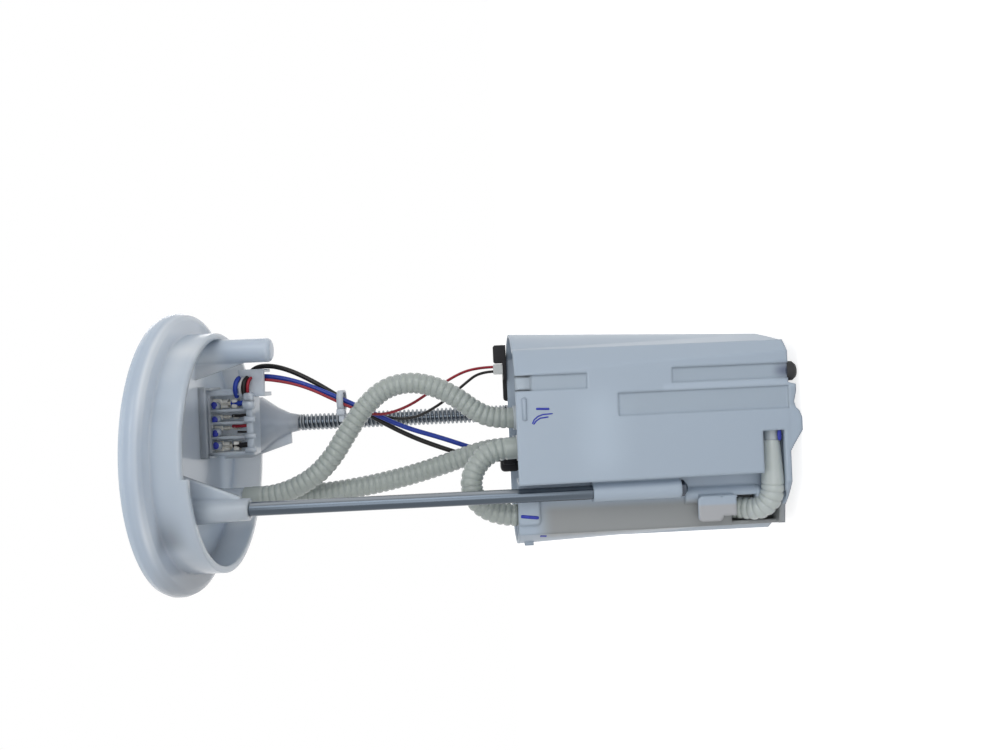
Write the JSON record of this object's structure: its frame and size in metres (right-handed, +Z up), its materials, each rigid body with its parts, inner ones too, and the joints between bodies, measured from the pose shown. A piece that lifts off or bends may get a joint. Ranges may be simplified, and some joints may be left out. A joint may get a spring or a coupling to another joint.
{
  "type": "fuel pump module",
  "caption": "In-tank fuel pump module: round flange cover on spring-loaded guide rods above a drafted plastic reservoir with pump, corrugated hoses, wiring and a level sender with float",
  "frame": {"origin": "on the flange's axis, in the plane of the reservoir's feet", "axes": "+Z runs up the guide rods from the feet to the flange; -Y is the near side with the open corner that the front guide rod runs in; +Y is the back with the level sender; +X is the side of the spare boss"},
  "size_m": [0.13, 0.13, 0.298],
  "materials": {
    "flange_plastic": "milky moulded acetal, smooth",
    "reservoir_plastic": "milky moulded acetal, satin",
    "holder_plastic": "white moulded acetal, satin",
    "hose_plastic": "translucent cream nylon, corrugated",
    "rod_steel": "ground bright steel",
    "spring_steel": "drawn spring wire",
    "terminal_tin": "tinned stamping",
    "pump_steel": "drawn can",
    "black_plastic": "black moulded plastic",
    "black_rubber": "moulded rubber",
    "strainer_mesh": "woven nylon mesh",
    "card_ceramic": "ceramic resistor card",
    "float_foam": "closed-cell float foam",
    "plug_white": "white moulded plug",
    "tie_white": "nylon strap",
    "wire_black": "insulation",
    "wire_blue": "insulation",
    "wire_red": "insulation"
  },
  "bodies": {
    "reservoir": {"reservoir_pot": "reservoir_plastic", "pump_holder": "holder_plastic", "pump_case": "pump_steel", "pump_outlet_cap": "black_plastic", "pump_inlet_cap": "black_plastic", "pump_strainer": "strainer_mesh", "lower_isolator": "black_rubber", "upper_isolator": "black_rubber", "pressure_regulator": "pump_steel", "jet_pump": "holder_plastic", "inlet_valve": "black_rubber", "bottom_bumper": "black_rubber", "level_sender_housing": "black_plastic", "resistor_card": "card_ceramic", "sender_plug": "plug_white", "pump_connector": "black_plastic", "supply_hose": "hose_plastic", "return_hose": "hose_plastic", "jet_feed_hose": "hose_plastic", "pump_wire_black": "wire_black", "pump_wire_blue": "wire_blue", "sender_wire_red": "wire_red", "sender_wire_black": "wire_black", "compression_spring": "spring_steel"},
    "flange": {"flange_cover": "flange_plastic", "power_terminals": "terminal_tin", "sender_terminals": "terminal_tin", "front_guide_rod": "rod_steel", "rear_guide_rod": "rod_steel", "front_rod_ring": "spring_steel", "rear_rod_ring": "spring_steel", "cable_tie": "tie_white"},
    "float_arm_body": {"wiper_holder": "black_plastic", "float_arm": "rod_steel", "float": "float_foam"}
  },
  "joints": [
    {"name": "flange_slide", "type": "slide", "parent": "reservoir", "child": "flange", "axis": [0, 0, 1], "range_m": [-0.03, 0], "stiffness_N_per_m": 250, "springref_m": 0.045, "deforming": ["compression_spring", "supply_hose", "return_hose", "pump_wire_black", "pump_wire_blue", "sender_wire_red", "sender_wire_black"]},
    {"name": "float_hinge", "type": "hinge", "parent": "reservoir", "child": "float_arm_body", "pos_m": [0.022, 0.04, 0.088], "axis": [0, 1, 0], "range_deg": [0, 70]}
  ]
}
